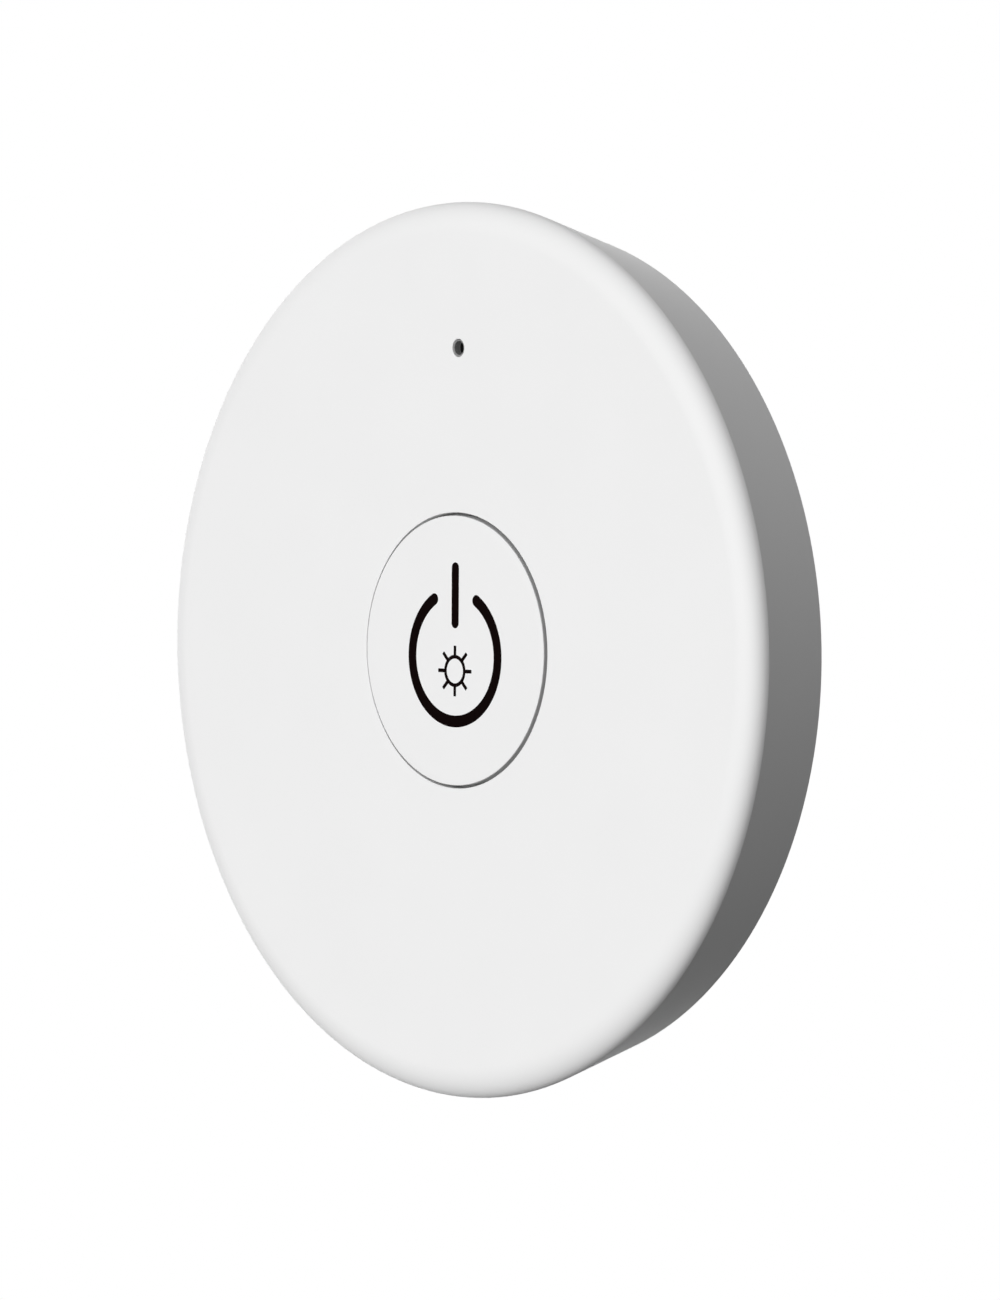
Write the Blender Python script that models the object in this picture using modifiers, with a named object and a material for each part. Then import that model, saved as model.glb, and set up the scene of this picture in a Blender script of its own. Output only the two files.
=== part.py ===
"""A round one-button wireless light remote: shell, button, switch, board, coin cell and wall cover.

Every piece is drawn in the remote's own frame, in millimetres: x to the right, y up the wall and z
out of the wall towards the user, with zero at the centre of the pad's rear face. The empty
"wall_frame" stands that frame on the wall: the face then looks along -Y, and +Z is up.
"""
import math

import bmesh
import bpy

MM = 0.001
MERGE = 0.00001

# Outer form
FACE_RADIUS = 32.0
REAR_RADIUS = 29.8
SHELL_DEPTH = 8.4
EDGE_ACROSS = 2.2                   # the face's rounded edge is a quarter of an ellipse
EDGE_DEEP = 1.4
REAR_CHAMFER = 0.2
PAD_THICK = 0.5
PAD_RADIUS = 24.0
SEAT_GAP = 0.1                      # between pieces that rest on each other
RUN_GAP = 0.2                       # round pieces that slide or turn

# Walls of the shell, from the wall side to the face
SHELL_REAR = PAD_THICK + SEAT_GAP
FACE_Z = SHELL_REAR + SHELL_DEPTH
FACE_WALL = 1.4
CEILING_Z = FACE_Z - FACE_WALL
BORE_RADIUS = 28.2
BORE_FILLET = 0.6
BORE_CHAMFER = 0.15
HOLE_CHAMFER = 0.05

# Button
BUTTON_RADIUS = 9.65
BUTTON_GAP = 0.2
BUTTON_PROUD = 0.15
BUTTON_EDGE = 0.06
BUTTON_PLATE = 1.05
BUTTON_SKIRT = 1.0
FLANGE_RADIUS = 10.85
FLANGE_THICK = 0.6
PRESS_TRAVEL = 0.25
KEY_WIDTH = 1.6                     # rib that keeps the symbol upright
KEY_GAP = 0.2

# Back cover and its bayonet
COVER_THICK = 1.0
COVER_RADIUS = BORE_RADIUS - RUN_GAP
COLLAR_OUTER = 26.1
COLLAR_WALL = 1.2
LUG_COUNT = 3
LUG_FIRST = 90.0
LUG_ANGLE = 18.0
LEDGE_ANGLE = 24.0
LEDGE_THICK = 1.0
LEDGE_Z = SHELL_REAR + COVER_THICK + 0.3
LUG_Z = LEDGE_Z + LEDGE_THICK + RUN_GAP
LUG_THICK = 1.0
LUG_RADIUS = BORE_RADIUS - 0.3
LEDGE_INNER = COLLAR_OUTER + RUN_GAP
STOP_GAP = 0.3                      # degrees
STOP_ANGLE = 2.7

# Coin cell, 20 mm across and 3.2 mm thick
CELL_Z = SHELL_REAR + COVER_THICK + 0.2
CELL_RADIUS = 10.0
CELL_THICK = 3.2
CAN_RIM = 0.9
CAP_RADIUS = 8.65
CAP_STEP = 0.45
CELL_EDGE = 0.3

# Board and what fastens it
BOARD_Z = CELL_Z + CELL_THICK + 0.6
BOARD_THICK = 0.8
BOARD_TOP = BOARD_Z + BOARD_THICK
BOARD_RADIUS = 27.2
PART_SEAT = 0.05                    # solder under a part on the board
SCREW_CIRCLE = 21.5
SCREW_ANGLES = (30.0, 150.0, 270.0)
BOSS_RADIUS = 2.2
PILOT_RADIUS = 0.9
SCREW_RADIUS = 0.75
SCREW_HEAD_RADIUS = 1.5
SCREW_HEAD_THICK = 0.75
SCREW_TIP = 0.25

# Indicator
LED_HEIGHT_ON_FACE = 21.6
LED_HOLE_RADIUS = 0.64
LED_TUBE_RADIUS = 1.9
LED_TUBE_Z = BOARD_TOP + 0.65
LENS_SINK = 0.08                    # how far the lens's rim lies under the face
LENS_DEPTH = 0.6                    # and the window in its cup
LENS_WALL = 0.1
LENS_GAP = 0.04
LENS_FLANGE_RADIUS = 1.0
LENS_FLANGE_THICK = 0.3

# Push switch
SWITCH_SIDE = 5.2
SWITCH_BASE_THICK = 0.55
SWITCH_Z = BOARD_TOP + PART_SEAT
SWITCH_BASE_TOP = SWITCH_Z + SWITCH_BASE_THICK
FRAME_SIDE = 5.8
FRAME_WALL = 0.2
FRAME_TOP = SWITCH_BASE_TOP + 0.45
DOME_RADIUS = 2.0
DOME_RISE = 0.2
DOME_THICK = 0.06
DOME_POCKET_RADIUS = 2.2
DOME_POCKET_DEPTH = 0.3
PLUNGER_RADIUS = 1.3
PLUNGER_FOOT_RADIUS = 1.8
PLUNGER_FOOT_THICK = 0.15
PLUNGER_TOP = FRAME_TOP + 0.4

# Contacts and holder of the cell
STRIP_THICK = 0.15
STRIP_WIDTH = 4.0
HOLDER_INNER = CELL_RADIUS + 0.35
HOLDER_WALL = 1.3
HOLDER_LOW = CELL_Z + 0.4
HOLDER_SLOT = 5.0


# ---------------------------------------------------------------- scene, materials and helpers
def clear_scene():
    """Remove what the new file holds."""
    for old in list(bpy.data.objects):
        bpy.data.objects.remove(old, do_unlink=True)


def new_collection(name):
    collection = bpy.data.collections.new(name)
    bpy.context.scene.collection.children.link(collection)
    return collection


def new_material(name, colour, roughness, metallic=0.0):
    material = bpy.data.materials.new(name)
    material.use_nodes = True
    shader = material.node_tree.nodes["Principled BSDF"]
    shader.inputs["Base Color"].default_value = (*colour, 1.0)
    shader.inputs["Roughness"].default_value = roughness
    shader.inputs["Metallic"].default_value = metallic
    material.diffuse_color = (*colour, 1.0)
    return material


clear_scene()
REMOTE = new_collection("light_remote")
CUTTERS = new_collection("cutters")

WALL_FRAME = bpy.data.objects.new("wall_frame", None)
WALL_FRAME.rotation_euler = (math.radians(90.0), 0.0, 0.0)
REMOTE.objects.link(WALL_FRAME)


def place(name, data, material=None, at=(0.0, 0.0, 0.0), turn=0.0):
    """Put mesh or curve data into the remote: a piece if it has a material, otherwise a cutter."""
    placed = bpy.data.objects.new(name, data)
    placed.parent = WALL_FRAME
    placed.location = [value * MM for value in at]
    placed.rotation_euler = (0.0, 0.0, math.radians(turn))
    if material:
        data.materials.append(material)
        REMOTE.objects.link(placed)
    else:
        placed.hide_render = True
        placed.display_type = "WIRE"
        CUTTERS.objects.link(placed)
    return placed


def mesh_from(name, build):
    """A mesh made by build(bmesh)."""
    shape = bmesh.new()
    build(shape)
    mesh = bpy.data.meshes.new(name)
    shape.to_mesh(mesh)
    shape.free()
    return mesh


def arc(centre_r, centre_z, radius, start, end, steps):
    """Points along an arc in the profile plane, angles in degrees."""
    points = []
    for step in range(steps + 1):
        angle = math.radians(start + (end - start) * step / steps)
        points.append((centre_r + radius * math.cos(angle), centre_z + radius * math.sin(angle)))
    return points


def turned(name, profile, material=None, steps=64, ring=False, at=(0.0, 0.0, 0.0)):
    """A round piece: (radius, height) points, down the outer side, turned about the axis.

    A ring's profile closes on itself. Any other profile starts and ends on the axis.
    """
    def build(shape):
        corners = [shape.verts.new((radius * MM, 0.0, height * MM)) for radius, height in profile]
        for first, second in zip(corners, corners[1:]):
            shape.edges.new((first, second))
        if ring:
            shape.edges.new((corners[-1], corners[0]))

    piece = place(name, mesh_from(name, build), material, at)
    screw = piece.modifiers.new("turn", "SCREW")
    screw.axis = "Z"
    screw.steps = steps
    screw.render_steps = steps
    screw.use_merge_vertices = True
    screw.merge_threshold = MERGE
    screw.use_smooth_shade = True
    return piece


def rod(name, radius, low, high, material=None, at=(0.0, 0.0), steps=24):
    """A cylinder from low to high."""
    def build(shape):
        bmesh.ops.create_cone(
            shape, cap_ends=True, segments=steps, radius1=radius * MM, radius2=radius * MM,
            depth=(high - low) * MM)

    return place(name, mesh_from(name, build), material, (*at, (low + high) / 2.0))


def block(name, size, low, material=None, at=(0.0, 0.0), turn=0.0, edge=0.0):
    """A box centred on at, standing on the height low, with its edges rounded by edge."""
    def build(shape):
        bmesh.ops.create_cube(shape, size=1.0)
        bmesh.ops.scale(shape, vec=[side * MM for side in size], verts=shape.verts)

    piece = place(name, mesh_from(name, build), material, (*at, low + size[2] / 2.0), turn)
    if edge:
        bevel = piece.modifiers.new("edges", "BEVEL")
        bevel.width = edge * MM
        bevel.segments = 2
    return piece


def plate(name, outline, low, high, material=None, turn=0.0):
    """A flat outline of (x, y) points, filled and extruded from low to high, as a mesh."""
    curve = bpy.data.curves.new(name, "CURVE")
    curve.dimensions = "2D"
    curve.fill_mode = "BOTH"
    curve.extrude = (high - low) * MM / 2.0
    spline = curve.splines.new("POLY")
    spline.points.add(len(outline) - 1)
    for point, (x, y) in zip(spline.points, outline):
        point.co = (x * MM, y * MM, 0.0, 1.0)
    spline.use_cyclic_u = True

    drawn = bpy.data.objects.new(name + "_outline", curve)
    REMOTE.objects.link(drawn)
    evaluated = drawn.evaluated_get(bpy.context.evaluated_depsgraph_get())
    mesh = bpy.data.meshes.new_from_object(evaluated)
    bpy.data.objects.remove(drawn, do_unlink=True)
    shape = bmesh.new()
    shape.from_mesh(mesh)
    bmesh.ops.remove_doubles(shape, verts=shape.verts, dist=MERGE)
    bmesh.ops.recalc_face_normals(shape, faces=shape.faces)
    shape.to_mesh(mesh)
    shape.free()
    return place(name, mesh, material, (0.0, 0.0, (low + high) / 2.0), turn)


def sector(inner, outer, centre, width, steps=8):
    """The outline of a piece of a flat ring."""
    start, end = centre - width / 2.0, centre + width / 2.0
    return arc(0.0, 0.0, outer, start, end, steps) + arc(0.0, 0.0, inner, end, start, steps)


def ribbon(path, width):
    """The outline of a strip of even width along a path of (x, y) points with square bends."""
    left, right = [], []
    for index, (x, y) in enumerate(path):
        before = path[max(index - 1, 0)]
        after = path[min(index + 1, len(path) - 1)]
        into = direction(before, (x, y)) or direction((x, y), after)
        out = direction((x, y), after) or into
        reach = width / 2.0 / (1.0 + into[0] * out[0] + into[1] * out[1])
        side_x = -(into[1] + out[1]) * reach
        side_y = (into[0] + out[0]) * reach
        left.append((x + side_x, y + side_y))
        right.append((x - side_x, y - side_y))
    return right + left[::-1]


def direction(start, end):
    """The unit vector from start to end, or None when they are one point."""
    length = math.dist(start, end)
    if length == 0.0:
        return None
    return ((end[0] - start[0]) / length, (end[1] - start[1]) / length)


def boolean(piece, other, operation):
    modifier = piece.modifiers.new(other.name, "BOOLEAN")
    modifier.operation = operation
    modifier.solver = "EXACT"
    modifier.object = other


def join(piece, other):
    boolean(piece, other, "UNION")


def cut(piece, other):
    boolean(piece, other, "DIFFERENCE")


def on_circle(radius, angle):
    return (radius * math.cos(math.radians(angle)), radius * math.sin(math.radians(angle)))


# ---------------------------------------------------------------- materials
WHITE_PLASTIC = new_material("white_plastic", (0.84, 0.84, 0.84), 0.5)
BUTTON_PLASTIC = new_material("button_plastic", (0.85, 0.85, 0.85), 0.45)
COVER_PLASTIC = new_material("cover_plastic", (0.78, 0.78, 0.78), 0.55)
FOAM = new_material("pad_foam", (0.70, 0.71, 0.72), 0.9)
BOARD_GREEN = new_material("board_laminate", (0.02, 0.16, 0.07), 0.4)
BLACK_RESIN = new_material("black_resin", (0.02, 0.02, 0.022), 0.45)
NICKEL = new_material("nickel_plate", (0.62, 0.61, 0.58), 0.3, 1.0)
SPRING_STEEL = new_material("spring_steel", (0.66, 0.67, 0.69), 0.28, 1.0)
COPPER = new_material("copper", (0.72, 0.38, 0.18), 0.35, 1.0)
CELL_STEEL = new_material("cell_steel", (0.70, 0.70, 0.71), 0.25, 1.0)
GASKET_PLASTIC = new_material("gasket_plastic", (0.10, 0.10, 0.11), 0.6)
HOLDER_PLASTIC = new_material("holder_plastic", (0.05, 0.05, 0.055), 0.5)
CERAMIC = new_material("capacitor_ceramic", (0.45, 0.30, 0.17), 0.5)
LED_RESIN = new_material("led_resin", (0.86, 0.84, 0.74), 0.3)
SMOKED_LENS = new_material("smoked_lens", (0.012, 0.012, 0.013), 0.2)


# ---------------------------------------------------------------- shell
def shell_profile():
    """The face, its rounded edge, the side wall that tapers to the rear, and the straight bore."""
    hole = BUTTON_RADIUS + BUTTON_GAP
    rim_z = FACE_Z - EDGE_DEEP
    taper = (FACE_RADIUS - REAR_RADIUS) / (rim_z - SHELL_REAR)
    profile = [(hole + HOLE_CHAMFER, FACE_Z)]
    for across, deep in arc(0.0, 0.0, 1.0, 90.0, 0.0, 9):
        profile.append((FACE_RADIUS - EDGE_ACROSS * (1.0 - across), rim_z + EDGE_DEEP * deep))
    profile += [
        (REAR_RADIUS + REAR_CHAMFER * taper, SHELL_REAR + REAR_CHAMFER),
        (REAR_RADIUS - REAR_CHAMFER, SHELL_REAR),
        (BORE_RADIUS + BORE_CHAMFER, SHELL_REAR),
        (BORE_RADIUS, SHELL_REAR + BORE_CHAMFER),
    ]
    profile += arc(BORE_RADIUS - BORE_FILLET, CEILING_Z - BORE_FILLET, BORE_FILLET, 0.0, 90.0, 3)
    profile += [(hole, CEILING_Z), (hole, FACE_Z - HOLE_CHAMFER)]
    return profile


def add_shell_insides(shell):
    """Bayonet ledges with their stops, screw bosses, the indicator's tube and the button's key."""
    overlap = 0.5
    for index in range(LUG_COUNT):
        angle = LUG_FIRST + index * 360.0 / LUG_COUNT
        ledge = sector(LEDGE_INNER, BORE_RADIUS + overlap, angle, LEDGE_ANGLE)
        join(shell, plate(f"ledge_{index + 1}", ledge, LEDGE_Z, LEDGE_Z + LEDGE_THICK))
        stop_centre = angle + LUG_ANGLE / 2.0 + STOP_GAP + STOP_ANGLE / 2.0
        stop = sector(LEDGE_INNER + 0.1, BORE_RADIUS + overlap, stop_centre, STOP_ANGLE - 0.2, 2)
        stop_low = LEDGE_Z + LEDGE_THICK - overlap
        join(shell, plate(f"turn_stop_{index + 1}", stop, stop_low, LUG_Z + LUG_THICK))

    for index, angle in enumerate(SCREW_ANGLES):
        spot = on_circle(SCREW_CIRCLE, angle)
        boss_low = BOARD_TOP + SEAT_GAP
        join(shell, rod(f"boss_{index + 1}", BOSS_RADIUS, boss_low, CEILING_Z + overlap, at=spot))
        pilot_top = FACE_Z - FACE_WALL / 2.0
        cut(shell, rod(f"pilot_{index + 1}", PILOT_RADIUS, boss_low - 1.0, pilot_top, at=spot))

    spot = (0.0, LED_HEIGHT_ON_FACE)
    join(shell, rod("led_tube", LED_TUBE_RADIUS, LED_TUBE_Z, CEILING_Z + overlap, at=spot))
    cut(shell, rod("led_hole", LED_HOLE_RADIUS, LED_TUBE_Z - 1.0, FACE_Z + 1.0, at=spot))
    seat_top = LED_TUBE_Z + LENS_FLANGE_THICK + 2.0 * SEAT_GAP
    seat_radius = LENS_FLANGE_RADIUS + SEAT_GAP
    cut(shell, rod("lens_seat", seat_radius, LED_TUBE_Z - 1.0, seat_top, at=spot))

    key_inner, key_outer = BUTTON_RADIUS + 2.0 * KEY_GAP, FLANGE_RADIUS + 1.0
    key_size = (KEY_WIDTH, key_outer - key_inner, FLANGE_THICK + overlap)
    key_at = (0.0, -(key_inner + key_outer) / 2.0)
    join(shell, block("button_key", key_size, CEILING_Z - FLANGE_THICK, at=key_at))


def make_front_shell():
    shell = turned("front_shell", shell_profile(), WHITE_PLASTIC, steps=96, ring=True)
    add_shell_insides(shell)


def make_indicator_lens():
    """A smoked cup that lines the pinhole, pushed in from behind until its flange meets the seat."""
    radius = LED_HOLE_RADIUS - LENS_GAP
    rim = FACE_Z - LENS_SINK
    window = FACE_Z - LENS_DEPTH
    flange_low = LED_TUBE_Z + SEAT_GAP
    flange_top = flange_low + LENS_FLANGE_THICK
    profile = [
        (0.0, window),
        (radius - LENS_WALL, window),
        (radius - LENS_WALL, rim),
        (radius, rim),
        (radius, flange_top),
        (LENS_FLANGE_RADIUS, flange_top),
        (LENS_FLANGE_RADIUS, flange_low),
        (0.0, flange_low),
    ]
    turned("indicator_lens", profile, SMOKED_LENS, 24, at=(0.0, LED_HEIGHT_ON_FACE, 0.0))


# ---------------------------------------------------------------- button
def make_button_cap():
    top = FACE_Z + BUTTON_PROUD
    flange_top = CEILING_Z - SEAT_GAP
    flange_low = flange_top - FLANGE_THICK
    plate_low = top - BUTTON_PLATE
    boss_low = PLUNGER_TOP + PART_SEAT
    skirt_inner = BUTTON_RADIUS - BUTTON_SKIRT
    profile = [(0.0, top)]
    profile += arc(BUTTON_RADIUS - BUTTON_EDGE, top - BUTTON_EDGE, BUTTON_EDGE, 90.0, 0.0, 3)
    profile += [
        (BUTTON_RADIUS, flange_top),
        (FLANGE_RADIUS, flange_top),
        (FLANGE_RADIUS, flange_low),
        (skirt_inner, flange_low),
        (skirt_inner, plate_low),
        (PLUNGER_FOOT_RADIUS, plate_low),
        (PLUNGER_FOOT_RADIUS, boss_low),
        (0.0, boss_low),
    ]
    cap = turned("button_cap", profile, BUTTON_PLASTIC, steps=72)
    slot_inner, slot_outer = BUTTON_RADIUS + KEY_GAP, FLANGE_RADIUS + 1.0
    slot_size = (KEY_WIDTH + 2.0 * KEY_GAP, slot_outer - slot_inner, FLANGE_THICK + 2.0)
    slot_at = (0.0, -(slot_inner + slot_outer) / 2.0)
    cut(cap, block("key_slot", slot_size, flange_low - 1.0, at=slot_at))


# ---------------------------------------------------------------- cover and pad
def make_back_cover():
    floor = SHELL_REAR + COVER_THICK
    collar_top = LUG_Z + LUG_THICK
    collar_inner = COLLAR_OUTER - COLLAR_WALL
    profile = [
        (0.0, floor),
        (collar_inner, floor),
        (collar_inner, collar_top - 0.2),
        (collar_inner + 0.2, collar_top),
        (COLLAR_OUTER - 0.2, collar_top),
        (COLLAR_OUTER, collar_top - 0.2),
        (COLLAR_OUTER, floor),
        (COVER_RADIUS, floor),
        (COVER_RADIUS, SHELL_REAR + 0.2),
        (COVER_RADIUS - 0.2, SHELL_REAR),
        (0.0, SHELL_REAR),
    ]
    cover = turned("back_cover", profile, COVER_PLASTIC, steps=96)
    for index in range(LUG_COUNT):
        angle = LUG_FIRST + index * 360.0 / LUG_COUNT
        lug = sector(COLLAR_OUTER - COLLAR_WALL / 2.0, LUG_RADIUS, angle, LUG_ANGLE)
        join(cover, plate(f"lug_{index + 1}", lug, LUG_Z, LUG_Z + LUG_THICK - 0.3))


def make_wall_pad():
    profile = [(0.0, PAD_THICK), (PAD_RADIUS, PAD_THICK), (PAD_RADIUS, 0.0), (0.0, 0.0)]
    turned("wall_pad", profile, FOAM, steps=72)


# ---------------------------------------------------------------- board
def make_circuit_board():
    profile = [(0.0, BOARD_TOP), (BOARD_RADIUS, BOARD_TOP), (BOARD_RADIUS, BOARD_Z), (0.0, BOARD_Z)]
    board = turned("circuit_board", profile, BOARD_GREEN, steps=72)
    for index, angle in enumerate(SCREW_ANGLES):
        spot = on_circle(SCREW_CIRCLE, angle)
        hole = rod(f"board_hole_{index + 1}", PILOT_RADIUS + 0.1, BOARD_Z - 1.0, BOARD_TOP + 1.0,
                   at=spot)
        cut(board, hole)
    for side in (-1.0, 1.0):
        notch = block(f"board_notch_{'left' if side < 0 else 'right'}", (2.0, 3.0, 3.0),
                      BOARD_Z - 1.0, at=(side * BOARD_RADIUS, 0.0))
        cut(board, notch)


def make_board_screws():
    """Cross-headed screws, put in from the wall side, with a short pointed tip."""
    head_top = BOARD_Z - SEAT_GAP
    head_low = head_top - SCREW_HEAD_THICK
    tip_z = FACE_Z - FACE_WALL / 2.0 - 0.2
    profile = [
        (0.0, tip_z),
        (SCREW_RADIUS - SCREW_TIP, tip_z),
        (SCREW_RADIUS, tip_z - SCREW_TIP),
        (SCREW_RADIUS, head_top),
        (SCREW_HEAD_RADIUS, head_top),
        (SCREW_HEAD_RADIUS, head_low + 0.3),
        (SCREW_HEAD_RADIUS - 0.3, head_low),
        (0.0, head_low),
    ]
    slot_length, slot_width, slot_depth = 1.8, 0.35, 0.4
    for index, angle in enumerate(SCREW_ANGLES):
        spot = on_circle(SCREW_CIRCLE, angle)
        screw = turned(f"board_screw_{index + 1}", profile, NICKEL, 20, at=(*spot, 0.0))
        for turn in (0.0, 90.0):
            slot = block(f"cross_{index + 1}_{turn:.0f}", (slot_length, slot_width, 1.0),
                         head_low + slot_depth - 1.0, at=spot, turn=angle + turn)
            cut(screw, slot)


def make_board_parts():
    """Chip, crystal, indicator and the small parts, all on the face side of the board."""
    low = BOARD_TOP + PART_SEAT
    block("controller_chip", (4.0, 4.0, 0.8), low, BLACK_RESIN, (-15.8, -3.0), edge=0.08)
    block("crystal", (2.5, 2.0, 0.6), low, NICKEL, (-16.6, 2.2), edge=0.12)
    block("indicator_led", (1.6, 0.9, 0.5), low, LED_RESIN, (0.0, LED_HEIGHT_ON_FACE), edge=0.06)

    small_size = (1.6, 0.8, 0.5)
    capacitors = ((-19.9, -1.0), (-19.9, -3.6), (-13.2, 3.6), (-14.2, 6.2))
    resistors = ((-3.4, LED_HEIGHT_ON_FACE), (-12.4, -8.8), (-15.0, -8.8))
    for index, spot in enumerate(capacitors):
        block(f"capacitor_{index + 1}", small_size, low, CERAMIC, spot, turn=90.0, edge=0.06)
    for index, spot in enumerate(resistors):
        block(f"resistor_{index + 1}", small_size, low, BLACK_RESIN, spot, turn=90.0, edge=0.06)


def make_printed_antenna():
    """A copper track that folds back and forth beside the board's right edge."""
    near, far, pitch, folds = 14.0, 19.5, 1.4, 7
    path = []
    for fold in range(folds):
        ends = (near, far) if fold % 2 == 0 else (far, near)
        y = (fold - (folds - 1) / 2.0) * pitch
        path += [(ends[0], y), (ends[1], y)]
    plate("printed_antenna", ribbon(path, 0.5), BOARD_TOP + PART_SEAT, BOARD_TOP + 0.1, COPPER)


# ---------------------------------------------------------------- push switch
def make_switch():
    base_size = (SWITCH_SIDE, SWITCH_SIDE, SWITCH_BASE_THICK)
    base = block("switch_base", base_size, SWITCH_Z, BLACK_RESIN)
    pocket_low = SWITCH_BASE_TOP - DOME_POCKET_DEPTH
    cut(base, rod("dome_pocket", DOME_POCKET_RADIUS, pocket_low, SWITCH_BASE_TOP + 1.0, steps=32))

    rim_z = pocket_low + PART_SEAT
    sphere = (DOME_RADIUS ** 2 + DOME_RISE ** 2) / (2.0 * DOME_RISE)
    half = math.degrees(math.asin(DOME_RADIUS / sphere))
    centre_z = rim_z + DOME_RISE - sphere
    outside = arc(0.0, centre_z, sphere, 90.0, 90.0 - half, 5)
    inside = arc(0.0, centre_z, sphere - DOME_THICK, 90.0 - half, 90.0, 5)
    outside[0] = (0.0, outside[0][1])
    inside[-1] = (0.0, inside[-1][1])
    turned("switch_dome", outside + inside, SPRING_STEEL, steps=24)

    foot_top = FRAME_TOP - FRAME_WALL - PART_SEAT
    foot_low = foot_top - PLUNGER_FOOT_THICK
    plunger = [
        (0.0, PLUNGER_TOP),
        (PLUNGER_RADIUS, PLUNGER_TOP),
        (PLUNGER_RADIUS, foot_top),
        (PLUNGER_FOOT_RADIUS, foot_top),
        (PLUNGER_FOOT_RADIUS, foot_low),
        (0.0, foot_low),
    ]
    turned("switch_plunger", plunger, BLACK_RESIN, steps=32)

    frame_size = (FRAME_SIDE, FRAME_SIDE, FRAME_TOP - SWITCH_Z)
    frame = block("switch_frame", frame_size, SWITCH_Z, SPRING_STEEL, edge=0.1)
    inner = FRAME_SIDE - 2.0 * FRAME_WALL
    cut(frame, block("frame_hollow", (inner, inner, 4.0), FRAME_TOP - FRAME_WALL - 4.0))
    cut(frame, rod("frame_hole", PLUNGER_RADIUS + 0.15, SWITCH_Z, FRAME_TOP + 1.0, steps=32))


# ---------------------------------------------------------------- coin cell and contacts
def make_coin_cell():
    top = CELL_Z + CELL_THICK
    rim_top = top - 0.2
    rim_inner = CELL_RADIUS - CAN_RIM
    recess = top - 0.7
    can = [
        (0.0, recess),
        (rim_inner, recess),
        (rim_inner, rim_top),
        (CELL_RADIUS - CELL_EDGE, rim_top),
        (CELL_RADIUS, rim_top - CELL_EDGE),
        (CELL_RADIUS, CELL_Z + CELL_EDGE),
        (CELL_RADIUS - CELL_EDGE, CELL_Z),
        (0.0, CELL_Z),
    ]
    turned("cell_can", can, CELL_STEEL, steps=56)

    gasket_outer = rim_inner - SEAT_GAP
    gasket_inner = CAP_RADIUS + SEAT_GAP
    low = recess + SEAT_GAP
    gasket = [
        (gasket_inner, rim_top),
        (gasket_outer, rim_top),
        (gasket_outer, low),
        (gasket_inner, low),
    ]
    turned("cell_gasket", gasket, GASKET_PLASTIC, steps=56, ring=True)

    cap = [
        (0.0, top),
        (CAP_RADIUS - CAP_STEP, top),
        (CAP_RADIUS - CAP_STEP + 0.1, top - 0.1),
        (CAP_RADIUS - CAP_STEP + 0.1, top - 0.35),
        (CAP_RADIUS, top - 0.4),
        (CAP_RADIUS, low),
        (0.0, low),
    ]
    turned("cell_cap", cap, CELL_STEEL, steps=56)


def make_battery_holder():
    top = BOARD_Z - SEAT_GAP
    outer = HOLDER_INNER + HOLDER_WALL
    profile = [
        (HOLDER_INNER, top),
        (outer, top),
        (outer, HOLDER_LOW),
        (HOLDER_INNER + 0.3, HOLDER_LOW),
        (HOLDER_INNER, HOLDER_LOW + 0.3),
    ]
    holder = turned("battery_holder", profile, HOLDER_PLASTIC, steps=56, ring=True)
    slot_at = (outer, 0.0)
    cut(holder, block("contact_slot", (2.0 * HOLDER_WALL + 1.0, HOLDER_SLOT, 8.0), 0.0, at=slot_at))


def bent_strip(name, path, axis_turn, material):
    """A bent metal strip: a path of (along, height) points, thickened and given its width."""
    strip = plate(name, ribbon(path, STRIP_THICK), -STRIP_WIDTH / 2.0, STRIP_WIDTH / 2.0, material)
    strip.rotation_euler = (math.radians(90.0), 0.0, math.radians(axis_turn))


def make_contacts():
    """A side clip on the can's edge, and a leaf that presses on the cap."""
    half = STRIP_THICK / 2.0
    foot = BOARD_Z - PART_SEAT - half
    side = CELL_RADIUS + PART_SEAT + half
    clip = [(side + 3.8, foot), (side, foot), (side, CELL_Z + 0.8)]
    bent_strip("battery_contact_positive", clip, 0.0, SPRING_STEEL)

    touch = CELL_Z + CELL_THICK + PART_SEAT + half
    leaf = [(-7.5, foot), (-4.5, foot), (-1.5, touch), (1.5, touch), (3.0, touch + 0.15)]
    bent_strip("battery_contact_negative", leaf, 90.0, SPRING_STEEL)


make_wall_pad()
make_back_cover()
make_front_shell()
make_indicator_lens()
make_button_cap()
make_circuit_board()
make_board_screws()
make_board_parts()
make_printed_antenna()
make_switch()
make_coin_cell()
make_battery_holder()
make_contacts()
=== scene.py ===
# %% [markdown]
# # A round one-button light remote
#
# The object is a flat white disc that sticks to a wall. It has one round button in the middle, printed
# with a power symbol and a small sun, and a pinhole above it with an indicator behind. The rear is
# closed by a cover with a bayonet, and a foam pad fastens that cover to the wall.
#
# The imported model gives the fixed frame. Its faces are coarse, so the pieces that show get new and finer
# meshes here. The pieces inside keep their meshes and get finishes of their own.

# %% Load the frame
import math

import bmesh
import bpy
from mathutils import Matrix, Vector


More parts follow.
